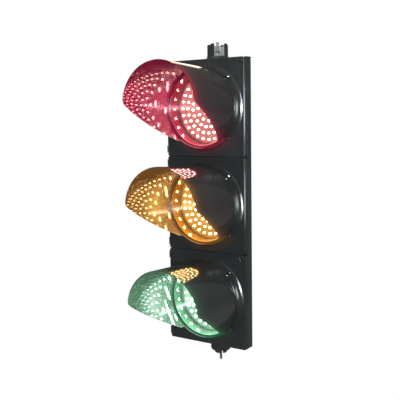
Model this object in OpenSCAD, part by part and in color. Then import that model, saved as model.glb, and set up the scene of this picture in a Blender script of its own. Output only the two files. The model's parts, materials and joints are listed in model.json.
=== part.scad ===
// Traffic signal head: three 300 mm aspects stacked on one tie rod.
// Frame: +Z up, -Y towards the road, +X to the head's left-hand latches as
// seen from the road. The origin is on the tie rod, level with the seats on
// the bottom hub that rest on the bracket. Millimetres.

/* [Housing] */
// height of one section, bottom plane to bottom plane
section_h = 375; // [360:1:400]
// width of a door and of a housing at the front
body_w = 362; // [356:1:380]
// tie rod to the front plane of the door's edge
face_forward = 102; // [98:1:110]
// tie rod to the outside of the back wall
body_back = 62; // [58:1:75]
// wall thickness of the moulded housing
wall = 3; // [2.5:0.5:4]
// radius of the head's four outer corners, seen from the front
outer_corner_r = 12; // [10:1:16]

/* [Door] */
// depth of the door's edge skirt
skirt_d = 14; // [12:1:16]
// how far the collar round the visor stands in front of the door's edge
collar_rise = 30; // [24:1:34]
// gap left all round the door's outline
door_gap = 0.5; // [0.5:0.5:2]
// rounding of the door's front edge along its sides
edge_r = 8; // [5:1:9]
// rounding of the door's front edge along its ends, where doors meet
end_edge_r = 2; // [1:0.5:4]

/* [Lens and visor] */
// outside radius of the lens's side wall
lens_r = 144.2; // [140:0.1:145]
// lens rim in front of the door's edge plane
lens_rise = 25.4; // [20:0.1:26]
// outside radius of the visor
visor_r = 154; // [152:0.5:156]
// visor thickness
visor_t = 2.2; // [2:0.1:3]
// visor's front rim in front of the door's edge plane
visor_reach = 302; // [250:1:330]
// how much the visor's radius grows from the collar to its front rim
visor_flare = 5.4; // [1:0.1:8]
// angle below the horizontal at which the visor's sides end
visor_side_deg = 55; // [45:1:65]

/* [Light source] */
// radial distance between rings of diodes
led_pitch = 24.2; // [23:0.1:25]
// radius of one diode's body
led_r = 4; // [3:0.5:4]
// plane of the glowing tips behind the door's edge plane
led_behind = 25.5; // [24:0.5:28]

/* [Mounting hub] */
// hub height, housing wall to bracket seat
hub_h = 62; // [56:1:70]
// outside radius of the hub's ears
hub_r = 41; // [38:1:44]
// radius of the threaded tie rod
rod_r = 5; // [5:0.5:6]
// rod left free beyond the bracket seats: top, bottom
rod_free_top = 8; // [8:1:40]
rod_free_bottom = 31; // [20:1:50]

/* [Hidden] */
$fn = 96;

// where each colour sits in the stack, counted from the bottom
red = 2;
amber = 1;
green = 0;

black = [0.10, 0.11, 0.12];
rubber = [0.04, 0.04, 0.04];
steel = [0.72, 0.72, 0.70];
brass = [0.78, 0.62, 0.30];
white = [0.92, 0.92, 0.88];
glow = [[0.35, 1.00, 0.65], [1.00, 0.75, 0.25], [1.00, 0.25, 0.30]];
tint = [[0.10, 0.60, 0.35, 0.6], [0.85, 0.50, 0.05, 0.6], [0.65, 0.02, 0.12, 0.6]];

seal_t = 1.5;                        // rubber seal under each hub
base_z = hub_h + seal_t;             // outside of the bottom wall
top_z = base_z + 3 * section_h;      // outside of the top wall
seam = 0.25;                         // half the gap between two housings
half_w = body_w / 2;
half_h = section_h / 2;
door_half_h = half_h - door_gap;
fit = 0.05;                          // radial clearance of a running fit

// distances forward of the tie rod
door_plate_t = 3;
door_inner_f = face_forward - door_plate_t;
skirt_f = face_forward - skirt_d;
housing_f = skirt_f - 0.5;
flange_f = housing_f - wall;
collar_f = face_forward + collar_rise;
lens_f = face_forward + lens_rise;
visor_f = face_forward + visor_reach;
groove_f = face_forward + 7;         // bottom of the visor's groove
seat_f = groove_f + 0.5;             // seats of the visor's tabs

// housing outline in plan
taper_y = -56;                       // where the side starts to taper
back_half_w = 88;
opening_half_w = half_w - 22;
opening_half_h = half_h - 17.5;
gasket_w = 5.5;
gasket_t = 4.5;
gasket_f = housing_f + gasket_t;     // front of the door gasket
rib_w = 2.5;

// lens stack, from front to back
neck_inner_r = lens_r + 1;
neck_outer_r = visor_r - visor_t - 0.3;
neck_back_f = skirt_f + 2;
lens_wall = 3;
flange_r = lens_r + 9.8;
lens_gasket_t = 4;
lens_flange_f = neck_back_f - lens_gasket_t;
layer_t = 3;                         // lens flange and shell flange
shell_flange_f = lens_flange_f - layer_t;
clip_f = shell_flange_f - layer_t;
led_h = 8;
board_f = face_forward - led_behind - led_h + 2.5;
board_t = 1.6;
board_r = lens_r - lens_wall - 0.4;
shell_back_f = 22;
ring_counts = [6, 12, 19, 24, 28];
ring_starts = [0, 0, 4.6, 0, 0];

// hinge line, in the section's own plan
hinge_x = -half_w + 2;
hinge_f = face_forward - 6;
knuckle_r = 5;
pin_r = 2.5;
pin_low = 14;                        // pin's span above a section's end
pin_high = 42;
knuckle_low = 22;
knuckle_high = 34;

// latch screws
latch_x = half_w - 12;
latch_from_end = 19;
latch_head_r = 5.5;
latch_bar = 6.5;                     // half length of the thumb bar
latch_shank_r = 2.4;

// visor fixing
tab_r = visor_r + 7;
tab_half_w = 7;
tab_t = 2.5;
diagonals = [45, 135, 225, 315];
clip_boss_r = 164;

hub_bore_r = 24;                     // opening in each end wall
cup_r = 34;                          // inside of the top hub's wall
saddle_h = hub_h - 5;                // top hub's wall between its ears
boss_r = 24;                         // bracket seat of the bottom hub
socket_r = 13;                       // nut socket of the bottom hub
bearing_h = 26;                      // plane the washers bear on
nut_h = 8;

// ---------- placing ----------

function centre_z(i) = base_z + (i + 0.5) * section_h;

// x across, y up from the lens's centre, z forward of the tie rod
module dial(i) translate([0, 0, centre_z(i)]) rotate([90, 0, 0]) children();

module copy_at(angles) for (a = angles) rotate([0, 0, a]) children();

// the same feature near a section's lower and upper ends
module both_ends() {
    translate([0, -half_h, 0]) children();
    mirror([0, 1, 0]) translate([0, -half_h, 0]) children();
}

module block(from, to) translate(from) cube(to - from);

module tube(r_out, r_in, z0, z1) {
    translate([0, 0, z0]) difference() {
        cylinder(r = r_out, h = z1 - z0);
        translate([0, 0, -1]) cylinder(r = r_in, h = z1 - z0 + 2);
    }
}

module disc(r, z0, z1) translate([0, 0, z0]) cylinder(r = r, h = z1 - z0);

// flat outline with separate corner radii at the bottom and the top
module panel(w, z0, z1, r_low, r_high) {
    translate([-w, z0 + r_low]) square([2 * w, z1 - z0 - r_low - r_high]);
    translate([-w + r_low, z0]) square([2 * (w - r_low), z1 - z0]);
    for (s = [-1, 1]) {
        if (r_low > 0) translate([s * (w - r_low), z0 + r_low]) circle(r = r_low);
    }
    if (r_high > 0) for (s = [-1, 1]) {
        translate([s * (w - r_high), z1 - r_high]) circle(r = r_high);
    }
}

module frame_loop(w, h, band, z0, z1) {
    translate([0, 0, z0]) linear_extrude(height = z1 - z0) difference() {
        square([2 * w, 2 * h], center = true);
        square([2 * (w - band), 2 * (h - band)], center = true);
    }
}

// ---------- housing ----------

// plan outline of the housing, moved inwards by t
function housing_plan(t) = [
    [-half_w + t, -housing_f], [half_w - t, -housing_f],
    [half_w - t, taper_y - t / 3], [back_half_w + 8 - t, body_back - 10 - t / 3],
    [back_half_w - t, body_back - t], [-back_half_w + t, body_back - t],
    [-back_half_w - 8 + t, body_back - 10 - t / 3], [-half_w + t, taper_y - t / 3]
];

// one housing's solid outline, moved inwards by t
module housing_block(i, t) {
    low = i == green ? outer_corner_r : 0;
    high = i == red ? outer_corner_r : 0;
    z0 = base_z + i * section_h + (i == green ? 0 : seam);
    z1 = base_z + (i + 1) * section_h - (i == red ? 0 : seam);
    intersection() {
        translate([0, 0, z0 + t]) linear_extrude(height = z1 - z0 - 2 * t)
            polygon(housing_plan(t));
        translate([0, body_back + 1, 0]) rotate([90, 0, 0])
            linear_extrude(height = body_back + housing_f + 2)
                panel(half_w - t, z0 + t, z1 - t, max(low - t, 0), max(high - t, 0));
    }
}

module hinge_lugs() both_ends() {
    difference() {
        union() {
            for (span = [[pin_low, knuckle_low - 0.2], [knuckle_high + 0.2, pin_high]]) {
                translate([hinge_x, span[0], hinge_f]) rotate([-90, 0, 0])
                    cylinder(r = knuckle_r, h = span[1] - span[0]);
                block([hinge_x - knuckle_r, span[0], flange_f],
                      [hinge_x + 4, span[1], hinge_f]);
            }
        }
        translate([hinge_x, 0, hinge_f]) rotate([-90, 0, 0])
            cylinder(r = pin_r + 0.02, h = pin_high + 1);
    }
}

module latch_bosses() both_ends() {
    translate([latch_x, latch_from_end, 0]) disc(7, flange_f - 10, flange_f + 1);
}

module latch_boss_holes() both_ends() {
    translate([latch_x, latch_from_end, 0]) disc(latch_shank_r + 0.7, flange_f - 12, housing_f + 1);
}

module housing(i) color(black) difference() {
    union() {
        difference() {
            housing_block(i, 0);
            difference() {
                housing_block(i, wall);
                // front flange that carries the door gasket
                dial(i) block([-half_w, -half_h, flange_f], [half_w, half_h, housing_f + 1]);
            }
            dial(i) block([-opening_half_w, -opening_half_h, flange_f - 1],
                          [opening_half_w, opening_half_h, housing_f + 1]);
        }
        dial(i) hinge_lugs();
        dial(i) latch_bosses();
    }
    dial(i) latch_boss_holes();
    disc(hub_bore_r, base_z + i * section_h - 1, base_z + (i + 1) * section_h + 1);
    if (i == green) translate([gland_x, body_back - 10, gland_z])
        rotate([-90, 0, 0]) cylinder(r = gland_r, h = 20);
}

module door_gasket(i) color(rubber) dial(i)
    frame_loop(opening_half_w + 1 + gasket_w, opening_half_h + 0.5 + gasket_w,
               gasket_w, housing_f, gasket_f);

module hinge_pins(i) color(steel) dial(i) both_ends()
    translate([hinge_x, pin_low, hinge_f]) rotate([-90, 0, 0]) {
        cylinder(r = pin_r, h = pin_high - pin_low);
        translate([0, 0, -1.5]) cylinder(r = pin_r + 1, h = 1.5);
    }

// ---------- door ----------

// cross-section of the door's outline with its front edge rounded by r
module door_section(half, r) {
    steps = 4;
    arc = [for (k = [0:steps]) let (a = 90 * k / steps)
        [half - r * (1 - cos(a)), face_forward - r * (1 - sin(a))]];
    polygon(concat([[-half, skirt_f], [half, skirt_f]], arc,
        [for (k = [steps:-1:0]) [-arc[k][0], arc[k][1]]]));
}

module door_slab(inset, f0, f1) translate([0, 0, f0]) linear_extrude(height = f1 - f0)
    panel(half_w - inset, -door_half_h + inset, door_half_h - inset,
          outer_corner_r - inset, outer_corner_r - inset);

module door_pan() difference() {
    intersection() {
        translate([0, door_half_h, 0]) rotate([90, 0, 0])
            linear_extrude(height = 2 * door_half_h) door_section(half_w, edge_r);
        translate([-half_w, 0, 0]) rotate([90, 0, 90])
            linear_extrude(height = body_w) door_section(door_half_h, end_edge_r);
        door_slab(0, skirt_f, face_forward);
    }
    door_slab(3, skirt_f - 1, face_forward - edge_r);
    door_slab(6, face_forward - edge_r - 1, door_inner_f);
}

// flared collar round the visor's groove and the neck inside it
module door_collar() {
    steps = 9;
    lip_r = visor_r + 1.8;
    foot_r = half_w - edge_r - 1;
    flare = [for (k = [0:steps]) let (a = 90 * k / steps)
        [lip_r + (foot_r - lip_r) * (1 - cos(a)), collar_f - collar_rise * sin(a)]];
    rotate_extrude() polygon(concat(
        [[neck_inner_r, neck_back_f], [neck_inner_r, lens_f - 1], [neck_inner_r + 1, lens_f],
         [neck_outer_r, lens_f], [neck_outer_r, groove_f], [visor_r + 0.3, groove_f],
         [visor_r + 0.3, collar_f]],
        flare, [[foot_r, door_inner_f], [neck_outer_r + 1, door_inner_f],
                [neck_outer_r + 1, neck_back_f]]));
}

module latch_holes() both_ends()
    translate([latch_x, latch_from_end, 0]) disc(latch_shank_r + fit, skirt_f, face_forward + 1);

// slanted finger rib beside each latch
module pull_rib() both_ends()
    translate([half_w - 27, 18, face_forward]) rotate([0, 0, -20]) rotate([90, 0, 0])
        cylinder(r = 1.8, h = 17, center = true);

module hinge_cut() both_ends()
    block([-half_w - 5, pin_low - 2.5, skirt_f - 1],
          [hinge_x + 7, pin_high + 0.5, face_forward + 1]);

module hinge_knuckles() both_ends() {
    translate([hinge_x, knuckle_low, hinge_f]) rotate([-90, 0, 0])
        cylinder(r = knuckle_r, h = knuckle_high - knuckle_low);
    block([hinge_x, knuckle_low, hinge_f - 3],
          [hinge_x + 14, knuckle_high, door_inner_f + 1]);
}

module hinge_bores() both_ends()
    translate([hinge_x, knuckle_low - 1, hinge_f]) rotate([-90, 0, 0])
        cylinder(r = pin_r + fit, h = knuckle_high - knuckle_low + 2);

module door(i) color(black) dial(i) difference() {
    union() {
        difference() {
            union() {
                difference() {
                    door_pan();
                    disc(neck_outer_r + 0.5, skirt_f - 1, face_forward + 1);
                }
                door_collar();
                copy_at(diagonals) translate([tab_r, 0, 0]) disc(6.4, door_inner_f - 4, seat_f + 1);
                copy_at(diagonals) translate([clip_boss_r, 0, 0])
                    disc(6, shell_flange_f, door_inner_f + 1);
                frame_loop(opening_half_w + 5, opening_half_h + 4.5, rib_w,
                           gasket_f + 0.1, door_inner_f + 1);
                pull_rib();
            }
            hinge_cut();
        }
        hinge_knuckles();
    }
    latch_holes();
    hinge_bores();
    // seats for the visor's tabs, cut through the collar
    copy_at(diagonals) block([visor_r - 1, -tab_half_w - 0.5, seat_f],
                             [tab_r + 9, tab_half_w + 0.5, collar_f + 1]);
    copy_at(diagonals) translate([tab_r, 0, 0]) disc(2 + fit, door_inner_f + 1, seat_f + 1);
}

// ---------- visor ----------

// side view of everything cut away below the visor, y up and z forward
module visor_cut() {
    side_y = -visor_r * sin(visor_side_deg);
    side_f = face_forward + 48;
    below = -visor_r - visor_flare - 5;
    rotate([90, 0, 90]) linear_extrude(height = 2 * visor_r + 30, center = true)
        polygon([
            [24, visor_f + 10], [24, visor_f - 4], [15, visor_f - 12], [6, visor_f - 22],
            [-17, visor_f - 55], [side_y, side_f], [side_y, collar_f + 1], [below, collar_f + 1],
            [below, visor_f + 10]
        ]);
}

module visor(i) color(black) dial(i) difference() {
    union() {
        rotate_extrude() polygon([
            [visor_r, groove_f], [visor_r, collar_f + 1], [visor_r + visor_flare, visor_f],
            [visor_r + visor_flare - visor_t, visor_f], [visor_r - visor_t, collar_f + 1],
            [visor_r - visor_t, groove_f]
        ]);
        copy_at(diagonals) block([visor_r - 1.5, -tab_half_w, seat_f],
                                 [tab_r + 6, tab_half_w, seat_f + tab_t]);
    }
    visor_cut();
    copy_at(diagonals) translate([tab_r, 0, 0]) disc(2 + fit, groove_f - 1, seat_f + tab_t + 1);
}

module visor_screws(i) color(steel) dial(i) copy_at(diagonals) translate([tab_r, 0, 0]) {
    disc(2, door_inner_f + 2, seat_f + tab_t);
    translate([0, 0, seat_f + tab_t]) rotate_extrude($fn = 48)
        polygon([[0, 0], [4.6, 0], [4.6, 1.2], [3.9, 2.3], [2.2, 3.1], [0, 3.3]]);
}

// ---------- optics ----------

// clear tinted cap: shallow dome, side wall and rear flange
module lens(i) color(tint[i]) dial(i) {
    sag = 2;
    steps = 8;
    dome = function (r, lift) lift + sag * (1 - pow(r / lens_r, 2));
    outer = [for (k = [0:steps]) let (r = (lens_r - 2) * k / steps) [r, dome(r, lens_f)]];
    inner = [for (k = [steps:-1:0]) let (r = (lens_r - lens_wall) * k / steps)
        [r, dome(r, lens_f - lens_wall)]];
    rotate_extrude() polygon(concat(outer,
        [[lens_r, lens_f - 2], [lens_r, lens_flange_f], [flange_r, lens_flange_f],
         [flange_r, shell_flange_f], [lens_r - lens_wall, shell_flange_f]], inner));
}

module lens_gasket(i) color(rubber) dial(i)
    tube(neck_outer_r + 0.5, neck_inner_r + 0.3, lens_flange_f, neck_back_f);

module lens_clips(i) color(steel) dial(i) copy_at(diagonals) {
    difference() {
        block([flange_r - 4, -8, clip_f - 1.5], [clip_boss_r + 6, 8, clip_f]);
        translate([clip_boss_r, 0, 0]) disc(2 + fit, clip_f - 3, clip_f + 1);
    }
    block([clip_boss_r - 5, -8, clip_f], [clip_boss_r - 3, 8, shell_flange_f - 0.1]);
    translate([clip_boss_r, 0, 0]) {
        disc(2, clip_f - 1.5, shell_flange_f);
        disc(4, clip_f - 4, clip_f - 1.5);
    }
}

// black cup behind the lens: holds the board and the driver
module module_shell(i) color(black) dial(i) {
    seat_f = board_f - board_t;
    rotate_extrude() polygon([
        [lens_r - lens_wall, shell_flange_f], [flange_r, shell_flange_f], [flange_r, clip_f],
        [lens_r + 2, clip_f], [lens_r + 2, seat_f - 8], [110, shell_back_f], [0, shell_back_f],
        [0, shell_back_f + 2.5], [109, shell_back_f + 2.5], [board_r - 5, seat_f - 6],
        [board_r - 5, seat_f], [lens_r - lens_wall, seat_f]
    ]);
}

module led_board(i) color(tint[i]) dial(i) disc(board_r, board_f - board_t, board_f);

module led() rotate_extrude($fn = 32) polygon([
    [0, 0], [led_r, 0], [led_r, 1], [led_r - 0.4, 1], [led_r - 0.4, led_h - 3.6],
    [led_r - 0.9, led_h - 1.9], [led_r - 2, led_h - 0.6], [0, led_h]
]);

module leds(i) color(glow[i]) dial(i) translate([0, 0, board_f]) {
    led();
    for (k = [0:len(ring_counts) - 1]) for (j = [0:ring_counts[k] - 1])
        rotate([0, 0, 180 + ring_starts[k] + 360 * j / ring_counts[k]])
            translate([led_pitch * (k + 1), 0, 0]) led();
}

module driver(i) color([0.05, 0.30, 0.18]) dial(i) {
    floor_f = shell_back_f + 2.5;
    block([-45, -30, floor_f + 4], [45, 30, floor_f + 5.6]);
    for (x = [-35, 35]) translate([x, 0, 0]) disc(3, floor_f, floor_f + 4);
    block([-30, -18, floor_f + 5.6], [-6, 12, floor_f + 22]);
    for (x = [8, 24]) translate([x, -8, 0]) disc(6, floor_f + 5.6, floor_f + 24);
}

// ---------- latches ----------

// side is -1 for the lower latch and 1 for the upper one
module latch(i, side) color(black) dial(i)
    translate([latch_x, side * (half_h - latch_from_end), 0]) {
        disc(latch_shank_r, flange_f - 6, face_forward + 1);
        disc(3.3, door_inner_f - 1.7, door_inner_f - 0.2);
        disc(latch_head_r, face_forward + 0.1, face_forward + 3);
        block([-latch_bar, -1.7, face_forward + 2], [latch_bar, 1.7, face_forward + 6.5]);
    }

// ---------- mounting hardware ----------

// pin that centres a hub in the end wall, with the hub standing on z = 0
module spigot() tube(hub_bore_r - fit, hub_bore_r - 4, -seal_t - wall, 1);

// open cup with four ears, its front left quarter left out so the nut can be reached
module hub_top() color(black) at_top_hub() difference() {
    union() {
        rotate_extrude() polygon([
            [0, 0], [46, 0], [46, 5], [43, 9], [hub_r, 20], [hub_r, hub_h - 2],
            [hub_r - 1, hub_h], [hub_r - 6, hub_h], [cup_r, hub_h - 2], [cup_r, 4], [0, 4]
        ]);
        spigot();
    }
    disc(rod_r + 0.4, -10, 10);
    for (a = [0:90:270]) rotate([0, 0, a]) window(a == 270 ? 14 : saddle_h);
}

module window(low) {
    half_deg = 35;
    reach = hub_r + 10;
    translate([0, 0, low]) linear_extrude(height = hub_h) polygon([
        [0, 0], [reach * cos(45 - half_deg), reach * sin(45 - half_deg)], [reach, reach],
        [reach * cos(45 + half_deg), reach * sin(45 + half_deg)]
    ]);
}

// stepped boss with a socket for the nut and a slot that drains it
module hub_bottom() color(black) at_bottom_hub() difference() {
    union() {
        rotate_extrude() polygon([
            [0, 0], [46, 0], [46, 5], [43, 9], [hub_r, 18], [hub_r, hub_h - 20],
            [hub_r - 3, hub_h - 14], [boss_r + 2, hub_h - 6], [boss_r, hub_h], [0, hub_h]
        ]);
        spigot();
    }
    disc(rod_r + 0.4, -10, hub_h);
    disc(socket_r, bearing_h, hub_h + 1);
    rotate([0, 0, -45]) block([0, -5, bearing_h + nut_h + 3], [hub_r + 5, 5, hub_h + 1]);
}

module at_bottom_hub() translate([0, 0, hub_h]) mirror([0, 0, 1]) children();
module at_top_hub() translate([0, 0, top_z + seal_t]) children();
module both_hubs() {
    at_bottom_hub() children();
    at_top_hub() children();
}

// ribbed metal liner of the top hub, with the boss that its washer bears on
module hub_core() color(steel) at_top_hub() difference() {
    union() {
        rotate_extrude() polygon([
            [0, 4], [cup_r - 0.2, 4], [cup_r - 0.2, saddle_h - 3], [cup_r - 4.5, saddle_h - 3],
            [cup_r - 4.5, 12], [15, 12], [15, bearing_h], [0, bearing_h]
        ]);
        copy_at([0:30:330]) block([cup_r - 6.5, -1.2, 11], [cup_r - 4, 1.2, saddle_h - 5]);
    }
    disc(rod_r + 0.4, 0, hub_h);
    rotate([0, 0, 270]) window(14);
}

module hub_seals() color(rubber) both_hubs() tube(44, 30, -seal_t, 0);

module rod_washers() color(steel) both_hubs()
    tube(socket_r - 0.5, rod_r + 0.2, bearing_h, bearing_h + 2);

module rod_nuts() color(steel) both_hubs() difference() {
    translate([0, 0, bearing_h + 2]) cylinder(r = 9.8, h = nut_h, $fn = 6);
    disc(rod_r + 0.02, bearing_h, bearing_h + nut_h + 4);
}

// threaded at both ends, with a relief groove just inside each bracket seat
module tie_rod() color(steel) {
    chamfer = 1.2;
    root_r = rod_r - 0.4;
    low = -rod_free_bottom;
    high = top_z + seal_t + hub_h + rod_free_top;
    groove = hub_h - 5;
    thread_end = bearing_h - 8;
    lower = function (h) hub_h - h;
    upper = function (h) top_z + seal_t + h;
    rotate_extrude($fn = 48) polygon([
        [0, low], [rod_r - chamfer, low], [rod_r, low + chamfer],
        [rod_r, lower(groove + 1)], [root_r, lower(groove + 1)],
        [root_r, lower(groove)], [rod_r, lower(groove)],
        [rod_r, lower(thread_end)], [root_r, lower(thread_end)],
        [root_r, upper(thread_end)], [rod_r, upper(thread_end)],
        [rod_r, upper(groove)], [root_r, upper(groove)],
        [root_r, upper(groove + 1)], [rod_r, upper(groove + 1)],
        [rod_r, high - chamfer], [rod_r - chamfer, high], [0, high]
    ]);
}

// ---------- inside the housings ----------

module at_seams() for (i = [1, 2]) translate([0, 0, base_z + i * section_h]) children();

module couplings() color(black) at_seams() {
    tube(hub_bore_r - fit, hub_bore_r - 5, -7, 12);
    tube(34, hub_bore_r - fit, -wall - seam - 4, -wall - seam - 0.02);
    tube(hub_bore_r, hub_bore_r - 5, -7, -5);
}

module coupling_nuts() color(black) at_seams() difference() {
    translate([0, 0, wall + seam]) cylinder(r = 36, h = 7, $fn = 8);
    disc(hub_bore_r, 0, 20);
}

gland_x = 50;
gland_z = base_z + 70;
gland_r = 8;
block_z = base_z + 110;
pole_pitch = 12;

module terminal_block() color(white) difference() {
    block([-10, body_back - wall - 22, block_z], [60, body_back - wall, block_z + 26]);
    for (k = [0:4]) translate([1 + k * pole_pitch, body_back - wall - 23, block_z + 13])
        rotate([-90, 0, 0]) cylinder(r = 3.2, h = 14, $fn = 32);
}

module terminal_screws() color(brass)
    for (k = [0:4]) translate([1 + k * pole_pitch, body_back - wall - 20, block_z + 13])
        rotate([-90, 0, 0]) difference() {
            cylinder(r = 3, h = 11, $fn = 32);
            translate([-4, -0.5, -1]) cube([8, 1, 2]);
        }

// round lead along a path, with a slightly fuller bead at each bend
module wire(path, r) for (k = [0:len(path) - 2]) {
    a = path[k];
    b = path[k + 1];
    d = b - a;
    translate(a) rotate([0, acos(d[2] / norm(d)), atan2(d[1], d[0])])
        cylinder(r = r, h = norm(d), $fn = 24);
    if (k > 0) translate(a) sphere(r = 1.2 * r, $fn = 24);
}

// one lead per section, up through the couplings to a plug on the back wall
module wire_harness() color(rubber) for (i = [green, amber, red]) {
    run_x = -9 + 9 * i;
    run_y = 12;
    plug_y = body_back - wall - 14;
    plug_z = centre_z(i) + 40;
    start_x = 1 + (i + 1) * pole_pitch;
    wire([[start_x, plug_y, block_z + 26.5], [start_x, plug_y, block_z + 40 + 8 * i],
          [run_x, run_y, block_z + 60 + 8 * i], [run_x, run_y, plug_z - 30],
          [-39, plug_y, plug_z]], 2);
    block([-52, plug_y - 6, plug_z - 8], [-40, body_back - wall, plug_z + 8]);
}

module power_cable() color(rubber) {
    wire([[gland_x, body_back + 34, gland_z], [gland_x, body_back - 22, gland_z],
          [gland_x, body_back - 22, block_z - 5]], 4);
}

module cable_gland() color(black) translate([gland_x, body_back, gland_z]) rotate([-90, 0, 0]) {
    tube(gland_r - 0.1, 4.1, -wall - 4, 0);
    tube(13, 4.1, 0, 5);
    tube(10, 4.1, 5, 14);
}

// ---------- node selection ----------

housing(red);  // housing_red
housing(amber);  // housing_amber
housing(green);  // housing_green
door(red);  // door_red
door(amber);  // door_amber
door(green);  // door_green
door_gasket(red);  // door_gasket_red
door_gasket(amber);  // door_gasket_amber
door_gasket(green);  // door_gasket_green
visor(red);  // visor_red
visor(amber);  // visor_amber
visor(green);  // visor_green
visor_screws(red);  // visor_screws_red
visor_screws(amber);  // visor_screws_amber
visor_screws(green);  // visor_screws_green
lens(red);  // lens_red
lens(amber);  // lens_amber
lens(green);  // lens_green
lens_gasket(red);  // lens_gasket_red
lens_gasket(amber);  // lens_gasket_amber
lens_gasket(green);  // lens_gasket_green
lens_clips(red);  // lens_clips_red
lens_clips(amber);  // lens_clips_amber
lens_clips(green);  // lens_clips_green
module_shell(red);  // module_shell_red
module_shell(amber);  // module_shell_amber
module_shell(green);  // module_shell_green
led_board(red);  // led_board_red
led_board(amber);  // led_board_amber
led_board(green);  // led_board_green
leds(red);  // leds_red
leds(amber);  // leds_amber
leds(green);  // leds_green
driver(red);  // driver_red
driver(amber);  // driver_amber
driver(green);  // driver_green
hinge_pins(red);  // hinge_pins_red
hinge_pins(amber);  // hinge_pins_amber
hinge_pins(green);  // hinge_pins_green
latch(red, 1);  // latch_red_upper
latch(red, -1);  // latch_red_lower
latch(amber, 1);  // latch_amber_upper
latch(amber, -1);  // latch_amber_lower
latch(green, 1);  // latch_green_upper
latch(green, -1);  // latch_green_lower
hub_top();
hub_bottom();
hub_core();
hub_seals();
tie_rod();
rod_nuts();
rod_washers();
couplings();
coupling_nuts();
terminal_block();
terminal_screws();
wire_harness();
power_cable();
cable_gland();
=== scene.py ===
"""Looks of the traffic signal head: materials, hoods, lens caps, lit boards, studio and camera."""
import json
import math

import bmesh
import bpy
import numpy as np
from mathutils import Matrix, Vector


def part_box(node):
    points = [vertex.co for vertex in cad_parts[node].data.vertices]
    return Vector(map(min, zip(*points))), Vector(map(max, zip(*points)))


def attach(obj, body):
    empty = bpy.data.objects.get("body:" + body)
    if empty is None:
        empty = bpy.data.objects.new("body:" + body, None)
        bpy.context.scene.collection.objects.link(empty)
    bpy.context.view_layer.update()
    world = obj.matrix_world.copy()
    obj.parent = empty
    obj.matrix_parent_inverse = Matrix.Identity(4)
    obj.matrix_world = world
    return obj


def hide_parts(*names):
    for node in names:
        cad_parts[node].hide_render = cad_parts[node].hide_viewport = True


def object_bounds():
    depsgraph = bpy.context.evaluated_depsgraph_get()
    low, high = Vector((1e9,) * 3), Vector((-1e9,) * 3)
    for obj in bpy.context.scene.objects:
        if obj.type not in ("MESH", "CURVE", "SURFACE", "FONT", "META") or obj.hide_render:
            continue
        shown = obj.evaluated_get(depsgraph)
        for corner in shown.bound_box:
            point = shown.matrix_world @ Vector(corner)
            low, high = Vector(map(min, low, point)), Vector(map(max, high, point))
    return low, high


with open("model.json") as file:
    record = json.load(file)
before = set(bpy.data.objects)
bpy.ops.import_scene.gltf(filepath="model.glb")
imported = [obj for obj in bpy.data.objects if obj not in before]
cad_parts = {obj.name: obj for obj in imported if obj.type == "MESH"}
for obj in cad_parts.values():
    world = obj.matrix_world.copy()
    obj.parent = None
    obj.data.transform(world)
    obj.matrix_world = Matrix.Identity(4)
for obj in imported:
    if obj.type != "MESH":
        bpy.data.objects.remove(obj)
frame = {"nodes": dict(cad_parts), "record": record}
cad_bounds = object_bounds()
NODES = frame["nodes"]
SLOT_OF = {s["node"]: s["material_slot"] for s in frame["record"]["subparts"]}
COLOURS = ("red", "amber", "green")
MM = 0.001
WHITE = (1.0, 1.0, 1.0)

LENS_RADIUS = 144.2 * MM
COLLAR_BORE = 151 * MM
COLLAR_CREST = 153 * MM
SOFT_EDGE = 1.2 * MM         # rounding that moulded edges seem to have

HOOD_RADIUS = 154 * MM
HOOD_WALL = 2.2 * MM
HOOD_FLARE = 5.4 * MM        # how much wider the hood is at its front
HOOD_LIFT = 7.2 * MM         # how much higher its axis is at the front
HOOD_END = math.radians(55)  # below the horizontal, where the sides end
SWEEP_HEIGHT = 145 * MM      # height over which the lower edge sweeps forward
SWEEP_START = 18 * MM        # reach of the sides where they end
SWEEP_RUN = 255 * MM         # reach gained over the sweep's height
SWEEP_BOW = 7 * MM           # how far the sweep bows forward of a straight line
SWEEP_EASE = 9 * MM          # how softly the sweep meets the front rim

TAB_PLACE = 161 * MM         # distance of the fixing tabs from the lens axis
TAB_HALF_WIDTH = 7 * MM
TAB_ROOT = 8 * MM            # how far a tab reaches inwards from its screw
TAB_TIP = 6 * MM             # and outwards
TAB_THICK = 2.5 * MM
SCREW_HEAD = 3.3 * MM

DIODE_BLOOM = 7.5 * MM       # radius of the bloom round a lit diode
FLOOR_DROP = 0.4             # clear height under the tie rod

# ---------- small node helpers ----------


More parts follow.
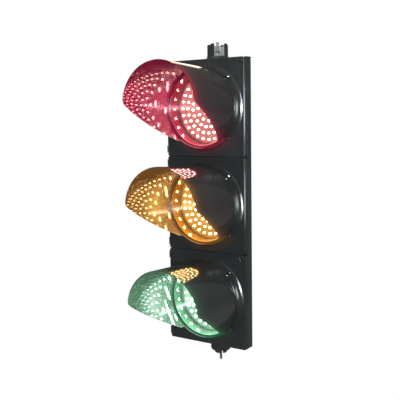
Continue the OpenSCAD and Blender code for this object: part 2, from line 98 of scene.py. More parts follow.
class Tree:
    """A short way to write a shader tree."""

    def __init__(self, tree):
        self.tree = tree

    def add(self, kind, **inputs):
        """Adds a node: p_NAME sets a property, iN the input number N, and NAME the input of that name."""
        node = self.tree.nodes.new(kind)
        for key, value in inputs.items():
            if key.startswith("p_"):
                setattr(node, key[2:], value)
            elif key[0] == "i" and key[1:].isdigit():
                self.put(node.inputs[int(key[1:])], value)
            else:
                self.put(node.inputs[key.replace("_", " ")], value)
        return node

    def put(self, socket, value):
        """Links a socket or sets a plain value."""
        if isinstance(value, bpy.types.NodeSocket):
            self.tree.links.new(value, socket)
        elif isinstance(value, (tuple, list)) and len(value) == 3 and socket.type == "RGBA":
            socket.default_value = (*value, 1)
        else:
            socket.default_value = value

    def maths(self, operation, a, b=0.0, c=0.0, clamp=False):
        node = self.add("ShaderNodeMath", p_operation=operation, p_use_clamp=clamp, i0=a, i1=b, i2=c)
        return node.outputs[0]

    def vector_maths(self, operation, a, b):
        return self.add("ShaderNodeVectorMath", p_operation=operation, i0=a, i1=b).outputs[0]

    def product(self, first, *others):
        for other in others:
            first = self.maths("MULTIPLY", first, other)
        return first

    def mix(self, factor, a, b):
        """Colour a where factor is 0, b where it is 1."""
        node = self.add("ShaderNodeMix", p_data_type="RGBA", i0=factor, i6=a, i7=b)
        return node.outputs[2]

    def mix_value(self, share, a, b):
        """Number a where share is 0, b where it is 1."""
        kept = self.product(self.maths("SUBTRACT", 1.0, share), a)
        return self.maths("ADD", kept, self.product(share, b))

    def ramp(self, value, low, high, to_low=0.0, to_high=1.0):
        """Straight ramp between two values, level outside them."""
        node = self.add("ShaderNodeMapRange", p_clamp=True, i0=value, i1=low, i2=high, i3=to_low, i4=to_high)
        return node.outputs[0]

    def bell(self, value, middle, level, reach):
        """1 within a level distance of the middle value, falling to 0 at its reach."""
        gap = self.maths("ABSOLUTE", self.maths("SUBTRACT", value, middle))
        return self.ramp(gap, level, reach, 1.0, 0.0)

    def object_place(self):
        return self.add("ShaderNodeTexCoord").outputs["Object"]

    def noise(self, scale, detail=3.0, rough=0.5, stretch=None):
        """Noise in the object's own coordinates, which may be stretched along each axis."""
        where = self.object_place()
        if stretch:
            where = self.vector_maths("MULTIPLY", where, stretch)
        node = self.add("ShaderNodeTexNoise", Vector=where, Scale=scale, Detail=detail, Roughness=rough)
        return node.outputs["Fac"]

    def attribute(self, name):
        """A number stored on the mesh's points."""
        return self.add("ShaderNodeAttribute", p_attribute_name=name).outputs["Fac"]

    def ray(self, kind):
        """1 for rays of a kind, such as Camera or Glossy."""
        return self.add("ShaderNodeLightPath").outputs["Is " + kind + " Ray"]

    def parts_of(self, vector):
        """X, Y and Z of a vector."""
        return self.add("ShaderNodeSeparateXYZ", Vector=vector).outputs

    def offset_from(self, centre):
        """Where a point lies from a lens centre."""
        return self.vector_maths("SUBTRACT", self.object_place(), tuple(centre))

    def axis_distance(self, offset):
        """Distance from the lens axis."""
        flat = self.vector_maths("MULTIPLY", offset, (1, 0, 1))
        return self.add("ShaderNodeVectorMath", p_operation="LENGTH", i0=flat).outputs["Value"]

    def tube_normal(self, centre, side):
        """True normal of a hood round a lens axis: side 1 is its outside and -1 its inside."""
        lift = self.product(self.attribute("depth"), HOOD_LIFT)
        axis = self.add("ShaderNodeCombineXYZ", Z=lift).outputs[0]
        radial = self.vector_maths("SUBTRACT", self.offset_from(centre), axis)
        flat = self.vector_maths("MULTIPLY", radial, (side, 0, side))
        node = self.add("ShaderNodeVectorTransform", p_vector_type="NORMAL", p_convert_from="OBJECT",
                        p_convert_to="WORLD", Vector=flat)
        return node.outputs[0]

    def bump(self, height, strength, distance, **base):
        """Bumpy normal, on a base normal if one is given."""
        node = self.add("ShaderNodeBump", Height=height, Strength=strength, Distance=distance, **base)
        return node.outputs["Normal"]


def new_material(name):
    material = bpy.data.materials.new(name)
    material.use_nodes = True
    material.node_tree.nodes.clear()
    return material, Tree(material.node_tree)


def finished(material, t, shader, glows=False):
    """Connects the shader. What glows is seen directly and in mirrors, but isn't sampled as a lamp."""
    node = t.add("ShaderNodeOutputMaterial")
    t.tree.links.new(shader.outputs[0], node.inputs[0])
    if glows:
        material.cycles.emission_sampling = "NONE"
    return material


def scaled(tone, factor):
    return [channel * factor for channel in tone]


# ---------- materials ----------


def moulded_plastic(name, tone, gloss, grain=0.02, glow=None, ior=1.58, polish=None, tube=None):
    """Black moulded polycarbonate: uneven sheen, faint orange peel, rounded edges, a little dust on top.

    glow is a function that returns the colour and strength of painted lamp light, an emission standing in
    for the lamp's light caught by the part, polish one that returns a spot's share of the roughness and its
    specular level.
    tube is the centre of the lens that the part is round about.
    """
    material, t = new_material(name)
    cloud = t.noise(9.0, 4.0, 0.6)
    fine = t.noise(420.0, 2.0)
    up = t.parts_of(t.add("ShaderNodeNewGeometry").outputs["Normal"])[2]
    dust = t.product(t.ramp(up, 0.6, 1.0, 0.0, 0.10), t.ramp(cloud, 0.35, 0.7))
    base = t.mix(t.ramp(cloud, 0.3, 0.7), scaled(tone, 0.85), scaled(tone, 1.15))
    base = t.mix(dust, base, (0.20, 0.19, 0.17))
    rough = t.ramp(cloud, 0.3, 0.75, gloss, gloss * 1.7)
    specular = 0.5
    if polish:
        share, specular = polish(t)
        rough = t.product(rough, share)
    if tube is None:
        rounded = t.add("ShaderNodeBevel", p_samples=4, Radius=SOFT_EDGE).outputs["Normal"]
    else:
        rounded = t.tube_normal(tube, 1)
    peel = t.bump(t.noise(60.0, 2.0), grain, 0.004, Normal=rounded)
    skin = t.bump(fine, grain, 0.0006, Normal=peel)
    shader = t.add("ShaderNodeBsdfPrincipled", Base_Color=base, Roughness=rough, IOR=ior, Normal=skin,
                   Specular_IOR_Level=specular)
    # Painted lamp light: an emission on the plastic where the lamp's light would fall.
    if glow:
        colour, strength = glow(t)
        t.put(shader.inputs["Emission Color"], colour)
        t.put(shader.inputs["Emission Strength"], strength)
    return finished(material, t, shader)


def metal(name, tone, rough):
    """Bright metal with cloudy roughness and fine drawn scratches."""
    material, t = new_material(name)
    cloud = t.noise(60.0, 4.0, 0.6)
    scratches = t.noise(90.0, 2.0, stretch=(30, 30, 0.6))
    base = t.mix(t.ramp(cloud, 0.3, 0.75), scaled(tone, 0.75), tone)
    shader = t.add("ShaderNodeBsdfPrincipled", Base_Color=base, Metallic=1.0,
                   Roughness=t.ramp(cloud, 0.3, 0.7, rough * 0.8, rough * 1.5),
                   Normal=t.bump(scratches, 0.15, 0.0004))
    return finished(material, t, shader)


def soft_black(name, tone, rough=0.75):
    """Rubber or cable sheath: matt with a fine grain."""
    material, t = new_material(name)
    cloud = t.noise(35.0, 4.0)
    base = t.mix(cloud, scaled(tone, 0.7), scaled(tone, 1.4))
    shader = t.add("ShaderNodeBsdfPrincipled", Base_Color=base,
                   Roughness=t.ramp(cloud, 0.2, 0.8, rough, 0.95),
                   Normal=t.bump(t.noise(900.0), 0.25, 0.0004))
    return finished(material, t, shader)


def plain_plastic(name, tone, rough):
    """Even, slightly clouded skin, such as the terminal block, the driver board or the cup's pale liner."""
    material, t = new_material(name)
    cloud = t.noise(50.0, 4.0)
    base = t.mix(cloud, scaled(tone, 0.85), tone)
    shader = t.add("ShaderNodeBsdfPrincipled", Base_Color=base,
                   Roughness=t.ramp(cloud, 0.3, 0.7, rough, rough + 0.15),
                   Normal=t.bump(t.noise(300.0), 0.1, 0.0005))
    return finished(material, t, shader)


def clear_tint(name, look, centre):
    """Tinted clear cap: see-through with a mirror-like skin, faint flow marks, and painted lamp light on its
    rim as an emission.
    """
    material, t = new_material(name)
    wave = t.bump(t.noise(14.0, 2.0), 0.02, 0.004)
    see = t.add("ShaderNodeBsdfTransparent", Color=look["tint"])
    skin = t.add("ShaderNodeBsdfGlossy", Color=look["mirror"],
                 Roughness=t.ramp(t.noise(20.0), 0.3, 0.7, 0.01, 0.03), Normal=wave)
    fresnel = t.add("ShaderNodeFresnel", IOR=1.5, Normal=wave).outputs[0]
    share = t.maths("MULTIPLY_ADD", fresnel, 1.4, 0.05, clamp=True)
    clear = t.add("ShaderNodeMixShader", i0=share, i1=see.outputs[0], i2=skin.outputs[0])
    offset = t.offset_from(centre)
    distance = t.axis_distance(offset)
    # Painted light on the rim: an emission, stronger towards the cap's bottom.
    lower = t.ramp(t.parts_of(offset)[2], -0.9 * LENS_RADIUS, 0.4 * LENS_RADIUS, 1.0, 0.25)
    lip = t.product(t.ramp(distance, LENS_RADIUS - 3.2 * MM, LENS_RADIUS - 1.6 * MM), lower)
    streaks = t.ramp(t.noise(26.0, 2.0), 0.3, 0.7, 0.55, 1.2)
    outermost = t.ramp(distance, LENS_RADIUS - 1.2 * MM, LENS_RADIUS - 0.2 * MM)
    colour = t.mix(outermost, look["lip"], look["ring"])
    edge = t.add("ShaderNodeEmission", Color=colour, Strength=t.product(lip, streaks))
    shader = t.add("ShaderNodeAddShader", i0=clear.outputs[0], i1=edge.outputs[0])
    return finished(material, t, shader, glows=True)


def lit_hood(name, look, strength, centre):
    """Inside of a hood: mirror-glossy black over an emission that paints on the lit lens's light, dimmer to
    the front, with a painted pale reflection patch and painted shade at the crown.
    """
    material, t = new_material(name)
    depth = t.attribute("depth")
    height = t.attribute("height")
    # Painted lamp light: the flood dims towards the front of the hood.
    near_lens = t.ramp(depth, 0.15, 0.85, 1.0, look["front"])
    streaks = t.ramp(t.noise(26.0, stretch=(1, 0.12, 1)), 0.42, 0.6, 0.35, 1.0)
    # Painted shade: the flood is darker and streaked at the crown.
    crown = t.ramp(height, 0.35, 0.85, 1.0, look["crown_dark"])
    crown = t.product(crown, t.mix_value(t.ramp(height, 0.45, 0.85), 1.0, streaks))
    # belly: a painted pale reflection of the lens's glow.
    belly_depth, belly_height = look["belly"]
    belly = t.product(t.bell(depth, belly_depth, 0.0, 0.32), t.bell(height, belly_height, 0.1, 0.7))
    clouded = t.ramp(t.noise(7.0), 0.3, 0.7, strength * 0.8, strength * 1.15)
    amount = t.maths("ADD", t.product(near_lens, crown, clouded), t.product(belly, look["belly_gain"]))
    # The base colour is tinted with the painted flood's colour.
    base = t.add("ShaderNodeBsdfPrincipled", Base_Color=scaled(look["flood"], 0.15), Roughness=0.35)
    flood = t.add("ShaderNodeEmission", Color=t.mix(belly, look["flood"], look["pale"]), Strength=amount)
    body = t.add("ShaderNodeAddShader", i0=base.outputs[0], i1=flood.outputs[0])
    ripple = t.bump(t.noise(16.0, 2.0), 0.006, 0.004, Normal=t.tube_normal(centre, -1))
    skin = t.add("ShaderNodeBsdfGlossy", Color=look["mirror"],
                 Roughness=t.ramp(t.noise(25.0), 0.3, 0.7, 0.004, 0.012), Normal=ripple)
    fresnel = t.add("ShaderNodeFresnel", IOR=1.6, Normal=ripple).outputs[0]
    share = t.maths("MULTIPLY_ADD", fresnel, 0.6, look["sheen"], clamp=True)
    share = t.product(share, t.ramp(height, 0.55, 0.9, 1.0, 0.4))
    shader = t.add("ShaderNodeMixShader", i0=share, i1=body.outputs[0], i2=skin.outputs[0])
    return finished(material, t, shader, glows=True)


def hood_rim(name, look, centre):
    """Cut edge of the hood: painted lamp light, an emission, on its far lower part, dark elsewhere."""
    material, t = new_material(name)
    offset = t.parts_of(t.offset_from(centre))
    # Painted lamp light on the far lower part of the rim.
    far = t.ramp(offset[0], -20 * MM, 20 * MM, 1.0, 0.0)
    low = t.ramp(offset[2], 10 * MM, 70 * MM, 1.0, 0.12)
    spots = t.ramp(t.noise(40.0), 0.3, 0.7, 0.5, 1.1)
    shader = t.add("ShaderNodeBsdfPrincipled", Base_Color=(0.02, 0.02, 0.02), Roughness=0.25,
                   Emission_Color=look["lip"], Emission_Strength=t.product(far, low, spots, 0.75))
    return finished(material, t, shader, glows=True)


def lamp_tip(name, crown, flank, strength):
    """Lit diode: white-hot crown and coloured flanks, brighter in mirrors, no light for diffuse bounces."""
    material, t = new_material(name)
    facing = t.add("ShaderNodeLayerWeight", Blend=0.45).outputs["Facing"]
    speck = t.ramp(t.noise(500.0), 0.2, 0.8, 0.9, 1.1)
    seen = t.maths("SUBTRACT", 1.0, t.ray("Diffuse"))
    mirrored = t.ramp(t.ray("Glossy"), 0.0, 1.0, 1.0, 1.6)
    shader = t.add("ShaderNodeEmission", Color=t.mix(t.ramp(facing, 0.25, 0.9), crown, flank),
                   Strength=t.product(seen, mirrored, speck, strength))
    return finished(material, t, shader, glows=True)


def lit_board(name, look, strength):
    """Solder-masked board under lit diodes, painted as lit: an emission with a painted bloom round each
    diode, deeper colour outside the array.
    """
    material, t = new_material(name)
    mirrored = t.ray("Glossy")
    bloom = t.maths("MULTIPLY", t.attribute("halo"), 0.75, clamp=True)
    colour = t.mix(t.attribute("rim"), look["field"], look["ring"])
    colour = t.mix(bloom, colour, look["bloom"])
    colour = t.mix(t.ramp(t.noise(30.0, 4.0), 0.35, 0.65, 0.0, 0.25), colour, scaled(look["ring"], 0.5))
    # In mirrors the painted glow is deeper in colour and three times as strong.
    colour = t.mix(t.product(mirrored, 0.85), colour, look["ring"])
    power = t.product(t.ramp(mirrored, 0.0, 1.0, 1.0, 3.0), strength)
    glow = t.add("ShaderNodeEmission", Color=colour, Strength=power)
    skin = t.add("ShaderNodeBsdfPrincipled", Base_Color=scaled(look["field"], 0.3), Roughness=0.4)
    shader = t.add("ShaderNodeAddShader", i0=glow.outputs[0], i1=skin.outputs[0])
    return finished(material, t, shader, glows=True)


# Colours and strengths of each lamp's light:
#   flood, pale, belly, belly_gain  painted lamp light in the hood, its painted pale reflection, that patch's
#   depth and height, its strength
#   front, crown_dark, sheen        how the painted flood dims to the front and, as painted shade, at the crown; least mirror share
#   field, ring, bloom              painted glow of the board between the diodes, outside them and as a bloom close round each
#   crown, flank                    a diode's tip and its sides
#   tint, mirror                    what the lens cap lets through, what cap and hood mirror
#   lip, spill                      painted light on the edges of cap and hood, painted lamp light on door and hood outside
#   clean, panel                    the collar's clean spot above the axis in mm, its panel's height in m
LIGHT = {
    "red": dict(
        flood=(0.31, 0.0, 0.040), pale=(0.40, 0.0, 0.060), belly=(0.15, 0.2), belly_gain=0.10,
        front=1.0, crown_dark=0.42, sheen=0.02,
        field=(0.57, 0.30, 0.25), ring=(0.28, 0.0, 0.04), bloom=(1.0, 0.50, 0.42),
        crown=(1.0, 0.82, 0.74), flank=(1.0, 0.28, 0.24),
        tint=(0.95, 0.84, 0.84), mirror=(1.0, 0.70, 0.76),
        lip=(0.85, 0.42, 0.38), spill=(0.30, 0.0, 0.03),
        clean=0, panel=1.06,
    ),
    "amber": dict(
        flood=(0.22, 0.088, 0.024), pale=(0.58, 0.31, 0.05), belly=(0.35, 0.0), belly_gain=0.36,
        front=0.85, crown_dark=0.40, sheen=0.03,
        field=(0.60, 0.38, 0.13), ring=(0.34, 0.13, 0.01), bloom=(1.0, 0.70, 0.25),
        crown=(1.0, 0.92, 0.66), flank=(1.0, 0.62, 0.14),
        tint=(0.98, 0.88, 0.72), mirror=(1.0, 0.92, 0.74),
        lip=(0.85, 0.55, 0.16), spill=(0.20, 0.075, 0.0),
        clean=-5, panel=0.30,
    ),
    "green": dict(
        flood=(0.13, 0.30, 0.17), pale=(0.50, 0.66, 0.54), belly=(0.45, -0.1), belly_gain=0.24,
        front=0.72, crown_dark=0.45, sheen=0.03,
        field=(0.42, 0.62, 0.50), ring=(0.13, 0.30, 0.19), bloom=(0.68, 1.0, 0.82),
        crown=(0.90, 1.0, 0.95), flank=(0.32, 0.95, 0.62),
        tint=(0.93, 0.99, 0.94), mirror=(0.88, 1.0, 0.94),
        lip=(0.45, 0.72, 0.55), spill=(0.02, 0.10, 0.04),
        clean=40, panel=0.66,
    ),
}


def centre_of(node_name):
    low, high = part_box(node_name)
    return (low + high) / 2


def neck_glow(shade):
    """Painted lamp light, as an emission, on the door's neck and below its collar."""
    def build(t):
        offset = t.offset_from(centre_of("lens_" + shade))
        distance = t.axis_distance(offset)
        below = t.ramp(t.parts_of(offset)[2], -130 * MM, -95 * MM, 1.0, 0.0)
        neck = t.ramp(distance, COLLAR_BORE, COLLAR_BORE + 0.6 * MM, 0.55, 0.0)
        near = t.ramp(distance, COLLAR_CREST, COLLAR_CREST + 7 * MM, 0.75, 0.0)
        wide = t.ramp(distance, COLLAR_CREST, COLLAR_CREST + 42 * MM, 0.16, 0.0)
        collar = t.product(t.maths("ADD", near, wide), below)
        return LIGHT[shade]["spill"], t.maths("MAXIMUM", neck, collar)
    return build


def worn_edge(shade):
    """The door's side edges are polished by hands, and dust dulls its collar but for one clean spot."""
    def build(t):
        offset = t.offset_from(centre_of("lens_" + shade))
        sideways, _, height = t.parts_of(offset)
        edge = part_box("door_" + shade)[1].x
        collar = t.ramp(t.axis_distance(offset), edge - 9 * MM, edge - 8 * MM, 1.0, 0.0)
        from_spot = t.maths("ABSOLUTE", t.maths("SUBTRACT", height, LIGHT[shade]["clean"] * MM))
        wiped = t.ramp(from_spot, 15 * MM, 60 * MM, 1.0, 0.04)
        side = t.maths("ABSOLUTE", sideways)
        face = t.ramp(side, edge - 9 * MM, edge - 7 * MM, 0.08, 0.09)
        polish = t.ramp(side, edge - 9 * MM, edge - 7 * MM, 1.0, 0.25)
        return polish, t.mix_value(collar, face, wiped)
    return build


def edge_glow(shade):
    """Painted lamp light, as an emission, that spills round the hood's edge."""
    def build(t):
        return LIGHT[shade]["spill"], t.attribute("spill")
    return build


SLOT_MATERIAL = {
    "housing_plastic": moulded_plastic("housing_plastic", (0.030, 0.038, 0.039), 0.18),
    "visor_plastic": moulded_plastic("visor_plastic", (0.028, 0.029, 0.030), 0.012, grain=0.006),
    "shell_plastic": moulded_plastic("shell_plastic", (0.020, 0.020, 0.021), 0.45, grain=0.1),
    "hub_plastic": moulded_plastic("hub_plastic", (0.032, 0.035, 0.036), 0.25, grain=0.08),
    "latch_plastic": moulded_plastic("latch_plastic", (0.030, 0.030, 0.031), 0.12),
    "seal_rubber": soft_black("seal_rubber", (0.02, 0.02, 0.02)),
    "wire_sheath": soft_black("wire_sheath", (0.03, 0.03, 0.035), 0.6),
    "stainless": metal("stainless", (0.80, 0.80, 0.78), 0.16),
    "spring_steel": metal("spring_steel", (0.55, 0.55, 0.56), 0.28),
    "zinc_steel": metal("zinc_steel", (0.60, 0.62, 0.62), 0.30),
    "cast_alloy": plain_plastic("cast_alloy", (0.55, 0.59, 0.60), 0.28),
    "terminal_brass": metal("terminal_brass", (0.75, 0.56, 0.25), 0.25),
    "terminal_plastic": plain_plastic("terminal_plastic", (0.72, 0.70, 0.60), 0.45),
    "driver_board": plain_plastic("driver_board", (0.02, 0.16, 0.07), 0.40),
}
HOOD_MATERIALS = {}
NODE_MATERIAL = {}
for shade in COLOURS:
    look = LIGHT[shade]
    lens_centre = centre_of("lens_" + shade)
    SLOT_MATERIAL["lens_" + shade] = clear_tint("lens_" + shade, look, lens_centre)
    SLOT_MATERIAL["board_" + shade] = lit_board("board_" + shade, look, 1.15)
    SLOT_MATERIAL["glow_" + shade] = lamp_tip("glow_" + shade, look["crown"], look["flank"], 26.0)
    NODE_MATERIAL["door_" + shade] = moulded_plastic(
        "door_plastic_" + shade, (0.028, 0.032, 0.034), 0.16, ior=2.0, glow=neck_glow(shade),
        polish=worn_edge(shade))
    HOOD_MATERIALS[shade] = [
        moulded_plastic("hood_outside_" + shade, (0.028, 0.029, 0.030), 0.010, grain=0.004, ior=2.0,
                        glow=edge_glow(shade), tube=lens_centre),
        lit_hood("hood_inside_" + shade, look, 0.75, lens_centre),
        hood_rim("hood_rim_" + shade, look, lens_centre),
    ]

# ---------- carried-over CAD nodes ----------


def finish_cad(node):
    """Welds the imported triangles, smooths the round faces and keeps the corners crisp."""
    mesh = node.data
    mesh.materials.clear()
    mesh.materials.append(NODE_MATERIAL.get(node.name) or SLOT_MATERIAL[SLOT_OF[node.name]])
    mesh.polygons.foreach_set("use_smooth", [True] * len(mesh.polygons))
    weld = node.modifiers.new("weld", "WELD")
    weld.merge_threshold = 0.02 * MM
    split = node.modifiers.new("crisp", "EDGE_SPLIT")
    split.split_angle = math.radians(28)


for cad_node in NODES.values():
    finish_cad(cad_node)

# ---------- pieces built here ----------


def place(mesh_name, builder, materials, body, slot_name, *replaced):
    """Turns a bmesh into a piece that rides on a body and stands for CAD nodes."""
    bm = bmesh.new()
    builder(bm)
    bmesh.ops.recalc_face_normals(bm, faces=bm.faces)
    mesh = bpy.data.meshes.new(mesh_name)
    bm.to_mesh(mesh)
    bm.free()
    for material in materials:
        mesh.materials.append(material)
    mesh.polygons.foreach_set("use_smooth", [True] * len(mesh.polygons))
    piece = bpy.data.objects.new(mesh_name, mesh)
    bpy.context.scene.collection.objects.link(piece)
    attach(piece, body)
    if replaced:
        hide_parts(*replaced)
    return piece


def polar(centre, radius, angle, y):
    """Point round a lens axis: angle 0 is +X and 90 degrees is up."""
    return Vector((centre.x + radius * math.cos(angle), y, centre.z + radius * math.sin(angle)))


def hood_reach(height, y_ring, y_front):
    """Y of the hood's edge at a height above the lens axis: a swept line that eases into the front."""
    low = -HOOD_RADIUS * math.sin(HOOD_END)
    share = (height - low) / SWEEP_HEIGHT
    bow = SWEEP_BOW * math.sin(math.pi * min(max(share, 0), 1))
    swept = SWEEP_START + share * SWEEP_RUN + bow
    forward = full = y_ring - y_front
    if swept < full + 12 * SWEEP_EASE:
        forward = full - SWEEP_EASE * math.log1p(math.exp((full - swept) / SWEEP_EASE))
    return y_ring - max(forward, 0)


def build_hood(shade):
    """Cut-away tunnel visor: a base ring in the collar and a flared hood with a swept lower edge."""
    low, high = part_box("visor_" + shade)
    centre = centre_of("lens_" + shade)
    y_front = low.y
    y_base = high.y
    y_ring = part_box("door_" + shade)[0].y
    columns = 240
    rows = 36

    def depth_at(y):
        return min(max((y_ring - y) / (y_ring - y_front), 0), 1)

    def front_edge(angle):
        """Y of the edge at an angle, closed in on step by step, because the hood's shape depends on it."""
        y = y_front
        for _ in range(30):
            share = depth_at(y)
            height = HOOD_LIFT * share + (HOOD_RADIUS + HOOD_FLARE * share) * math.sin(angle)
            y = 0.5 * y + 0.5 * hood_reach(height, y_ring, y_front)
        return y

    def builder(bm):
        depth = bm.verts.layers.float.new("depth")
        height = bm.verts.layers.float.new("height")
        spill = bm.verts.layers.float.new("spill")

        def point(angle, y, front):
            share = depth_at(y)
            gap = max(y - front, 0)
            where = polar(centre, HOOD_RADIUS + HOOD_FLARE * share, angle, y)
            v = bm.verts.new(where + Vector((0, 0, HOOD_LIFT * share)))
            v[depth] = share
            v[height] = math.sin(angle)
            # spill: share of painted lamp light near the cut edge, fading back from it.
            v[spill] = math.exp(-gap / (14 * MM)) + 0.12 * math.exp(-gap / (90 * MM))
            return v

        lines = []
        for k in range(columns):
            angle = -math.pi / 2 + 2 * math.pi * k / columns
            from_bottom = min(k, columns - k) * 2 * math.pi / columns
            hooded = from_bottom >= math.pi / 2 - HOOD_END - 1e-6
            front = front_edge(angle) if hooded else y_ring
            stops = [y_base, (y_base + y_ring) / 2, y_ring]
            if hooded:
                stops += [y_ring + (front - y_ring) * r / rows for r in range(1, rows + 1)]
            lines.append([point(angle, y, front) for y in stops])
        for k in range(columns):
            a, b = lines[k], lines[(k + 1) % columns]
            for r in range(min(len(a), len(b)) - 1):
                bm.faces.new((a[r], a[r + 1], b[r + 1], b[r]))

    piece = place("hood_" + shade, builder, HOOD_MATERIALS[shade], shade + "_door", "visor_plastic",
                  "visor_" + shade)
    outward = sum(p.normal.dot(Vector((p.center.x - centre.x, 0, p.center.z - centre.z))) > 0
                  for p in piece.data.polygons)
    if outward < len(piece.data.polygons) / 2:
        piece.data.flip_normals()
    wall = piece.modifiers.new("wall", "SOLIDIFY")
    wall.thickness = HOOD_WALL
    wall.offset = -1
    wall.material_offset = 1
    wall.material_offset_rim = 2
    rim = piece.modifiers.new("rim", "BEVEL")
    rim.width = 0.6 * MM
    rim.segments = 2
    rim.angle_limit = math.radians(50)


def build_tabs(shade):
    """The hood's four fixing tabs with rounded ends."""
    centre = centre_of("lens_" + shade)
    y_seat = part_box("visor_screws_" + shade)[0].y + SCREW_HEAD + TAB_THICK

    def builder(bm):
        for k in range(4):
            angle = math.radians(45 + 90 * k)
            out = Vector((math.cos(angle), 0, math.sin(angle)))
            side = Vector((-math.sin(angle), 0, math.cos(angle))) * TAB_HALF_WIDTH
            hub = Vector((centre.x, y_seat, centre.z)) + out * TAB_PLACE
            outline = [hub - out * TAB_ROOT - side, hub - out * TAB_ROOT + side]
            for j in range(9):
                turn = math.radians(90 - 180 * j / 8)
                outline.append(hub + out * TAB_TIP * math.cos(turn) + side * math.sin(turn))
            face = bm.faces.new([bm.verts.new(p) for p in outline])
            top = bmesh.ops.extrude_face_region(bm, geom=[face])
            moved = [v for v in top["geom"] if isinstance(v, bmesh.types.BMVert)]
            bmesh.ops.translate(bm, verts=moved, vec=(0, -TAB_THICK, 0))

    piece = place("hood_tabs_" + shade, builder, [SLOT_MATERIAL["visor_plastic"]], shade + "_door",
                  "visor_plastic")
    soften = piece.modifiers.new("soften", "BEVEL")
    soften.width = 0.5 * MM
    soften.segments = 2


def diode_places(shade):
    """X and Z of every diode's axis, read from the tips of the CAD domes."""
    points = np.array([v.co for v in NODES["leds_" + shade].data.vertices])
    tips = points[points[:, 1] < points[:, 1].min() + 0.02 * MM]
    return np.unique(tips[:, [0, 2]].round(4), axis=0)


def build_board(shade):
    """Front of the circuit board, whose points know how near the next diode and the rim are."""
    low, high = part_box("led_board_" + shade)
    centre = (low + high) / 2
    radius = (high.x - low.x) / 2
    diodes = diode_places(shade)
    rows = 70
    columns = 300

    def builder(bm):
        halo = bm.verts.layers.float.new("halo")
        rim = bm.verts.layers.float.new("rim")

        def point(r, angle, y):
            v = bm.verts.new(polar(centre, r, angle, y))
            gap = np.hypot(diodes[:, 0] - v.co.x, diodes[:, 1] - v.co.z)
            # halo: strength of the painted bloom round the diodes.
            v[halo] = float(np.exp(-(gap / DIODE_BLOOM) ** 2).sum())
            v[rim] = min(max((r / radius - 0.93) / 0.05, 0.0), 1.0)
            return v

        def ring(r, y):
            return [point(r, 2 * math.pi * k / columns, y) for k in range(columns)]

        grid = [ring(radius * i / rows, low.y) for i in range(1, rows + 1)]
        hub = point(0, 0, low.y)
        back = ring(radius, high.y)
        back_hub = point(0, 0, high.y)
        for k in range(columns):
            n = (k + 1) % columns
            bm.faces.new((hub, grid[0][k], grid[0][n]))
            for i in range(rows - 1):
                bm.faces.new((grid[i][k], grid[i + 1][k], grid[i + 1][n], grid[i][n]))
            bm.faces.new((grid[-1][k], back[k], back[n], grid[-1][n]))
            bm.faces.new((back[k], back_hub, back[n]))

    place("lit_board_" + shade, builder, [SLOT_MATERIAL["board_" + shade]], shade + "_door",
          "board_" + shade, "led_board_" + shade)


for shade in COLOURS:
    build_hood(shade)
    build_tabs(shade)
    build_board(shade)

# ---------- studio ----------


def soft_panel(name, where, aim, width, height, power, tint, fade=1.0):
    """Rectangular light whose brightness falls off towards its edges, faster with a higher fade."""
    light = bpy.data.lights.new(name, "AREA")
    light.shape = "RECTANGLE"
    light.size = width
    light.size_y = height
    light.energy = power
    light.color = tint
    light.use_nodes = True
    light.node_tree.nodes.clear()
    t = Tree(light.node_tree)
    across = t.parts_of(t.add("ShaderNodeNewGeometry").outputs["Parametric"])
    hills = []
    for u in (across[0], across[1]):
        hill = t.maths("MULTIPLY", t.product(u, 4.0), t.maths("SUBTRACT", 1.0, u), clamp=True)
        hills.append(t.maths("POWER", hill, fade))
    strength = t.product(*hills, 1.0 + fade)
    shine = t.add("ShaderNodeEmission", Color=WHITE, Strength=strength)
    out = t.add("ShaderNodeOutputLight")
    t.tree.links.new(shine.outputs[0], out.inputs[0])
    lamp = bpy.data.objects.new(name, light)
    bpy.context.scene.collection.objects.link(lamp)
    lamp.location = where
    lamp.rotation_mode = "QUATERNION"
    lamp.rotation_quaternion = (Vector(aim) - Vector(where)).to_track_quat("-Z", "Y")
    lamp.visible_camera = False
    return lamp


def only_on(lamp, names):
    """Keeps a lamp to the mirror-like shine of a few nodes."""
    lit = bpy.data.collections.new(lamp.name + "_on")
    for name in names:
        lit.objects.link(NODES[name])
    lamp.light_linking.receiver_collection = lit
    lamp.visible_diffuse = False


def build_floor(z):
    """White to the eye, grey as a source of bounced light, darker still in mirrors."""
    half = 8.0
    corners = [(-half, -half, z), (half, -half, z), (half, half, z), (-half, half, z)]
    mesh = bpy.data.meshes.new("floor")
    mesh.from_pydata(corners, [], [(0, 1, 2, 3)])
    floor = bpy.data.objects.new("floor", mesh)
    bpy.context.scene.collection.objects.link(floor)
    material, t = new_material("pale_floor")
    seen = t.add("ShaderNodeEmission", Color=WHITE, Strength=1.0)
    mirrored = t.ramp(t.ray("Glossy"), 0.0, 1.0, 1.0, 0.25)
    grey = t.product(t.ramp(t.noise(3.0), 0.3, 0.7, 0.40, 0.46), mirrored)
    tone = t.add("ShaderNodeCombineColor", i0=grey, i1=grey, i2=grey).outputs[0]
    matt = t.add("ShaderNodeBsdfDiffuse", Color=tone)
    shader = t.add("ShaderNodeMixShader", i0=t.ray("Camera"), i1=matt.outputs[0], i2=seen.outputs[0])
    mesh.materials.append(finished(material, t, shader))


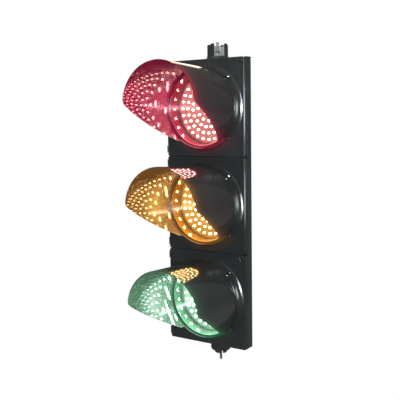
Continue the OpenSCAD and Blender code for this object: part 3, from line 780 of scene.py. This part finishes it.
def build_world():
    """White to the eye, a pale room as a source of light, a dark one in mirrors."""
    world = bpy.data.worlds.new("studio")
    bpy.context.scene.world = world
    world.use_nodes = True
    world.node_tree.nodes.clear()
    t = Tree(world.node_tree)
    height = t.parts_of(t.add("ShaderNodeTexCoord").outputs["Generated"])[2]
    room = t.mix(t.ramp(height, -0.2, 0.6), (0.55, 0.60, 0.62), (0.85, 0.84, 0.80))
    mirrored = t.mix(t.ramp(height, -0.3, 0.8), (0.05, 0.055, 0.06), (0.11, 0.11, 0.11))
    colour = t.mix(t.ray("Glossy"), room, mirrored)
    colour = t.mix(t.ray("Camera"), colour, WHITE)
    back = t.add("ShaderNodeBackground", Color=colour, Strength=1.0)
    out = t.add("ShaderNodeOutputWorld")
    t.tree.links.new(back.outputs[0], out.inputs[0])


def build_camera():
    """Camera in front of the head, to its right and a little above, looking slightly down."""
    place_of_camera = (1.4641, -2.3364, 0.9515)
    yaw = math.radians(33.67)
    pitch = math.radians(6.37)
    roll = math.radians(0.82)
    right = Vector((math.cos(yaw), math.sin(yaw), 0))
    ahead = Vector((-math.sin(yaw) * math.cos(pitch), math.cos(yaw) * math.cos(pitch), -math.sin(pitch)))
    down = ahead.cross(right)
    across = right * math.cos(roll) + down * math.sin(roll)
    below = down * math.cos(roll) - right * math.sin(roll)
    turn = Matrix((across, -below, -ahead)).transposed().to_4x4()
    data = bpy.data.cameras.new("camera")
    data.sensor_width = 36
    data.lens = 61.65
    data.shift_x = -0.0008
    data.shift_y = -0.0062
    data.clip_end = 50
    camera = bpy.data.objects.new("camera", data)
    bpy.context.scene.collection.objects.link(camera)
    camera.matrix_world = Matrix.Translation(place_of_camera) @ turn
    bpy.context.scene.camera = camera


def build_lights():
    """Soft room light, and panels that only the doors, the visor screws and the latches mirror."""
    aim = Vector((0, -0.1, (cad_bounds[0].z + cad_bounds[1].z) / 2))

    def at(azimuth, elevation, distance):
        """Spot round the aim: azimuth 0 is in front of the head and 90 on its right."""
        a, e = math.radians(azimuth), math.radians(elevation)
        return aim + Vector((math.sin(a) * math.cos(e), -math.cos(a) * math.cos(e), math.sin(e))) * distance

    soft_panel("key_panel", at(39, 6, 3.3), aim, 1.3, 0.42, 26, (1.0, 0.98, 1.0))
    soft_panel("key_halo", at(39, 6, 3.4), aim, 2.0, 1.1, 16, (1.0, 0.97, 1.0), fade=2.0)
    soft_panel("top_panel", at(4, 62, 2.6), aim, 2.4, 2.6, 20, (1.0, 0.88, 0.72), fade=2.0)
    soft_panel("warm_card", at(-160, 32, 2.4), aim, 1.6, 0.7, 9, (1.0, 0.76, 0.55))
    soft_panel("side_panel", at(120, 5, 3.0), aim, 1.4, 2.0, 12, (0.85, 0.95, 1.0))
    tall = soft_panel("edge_panel", at(6, 16, 3.2), aim, 0.5, 3.6, 85, (0.80, 0.82, 1.0))
    only_on(tall, ["door_" + shade for shade in COLOURS])
    glint = soft_panel("screw_glint", at(6, 24, 3.0), aim, 0.7, 0.7, 200, WHITE)
    only_on(glint, [node for node in NODES if node.startswith(("visor_screws_", "latch_"))])
    for shade in COLOURS:
        where = at(28, 0, 3.2)
        where.z = LIGHT[shade]["panel"]
        facing = Vector((aim.x, aim.y, where.z))
        level = soft_panel("level_panel_" + shade, where, facing, 3.0, 0.5, 64, (0.95, 0.97, 1.0))
        only_on(level, ["door_" + shade])


build_floor(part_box("tie_rod")[0].z - FLOOR_DROP)
build_world()
build_lights()
build_camera()
bpy.context.scene.view_settings.view_transform = "Standard"
bpy.context.scene.view_settings.look = "None"
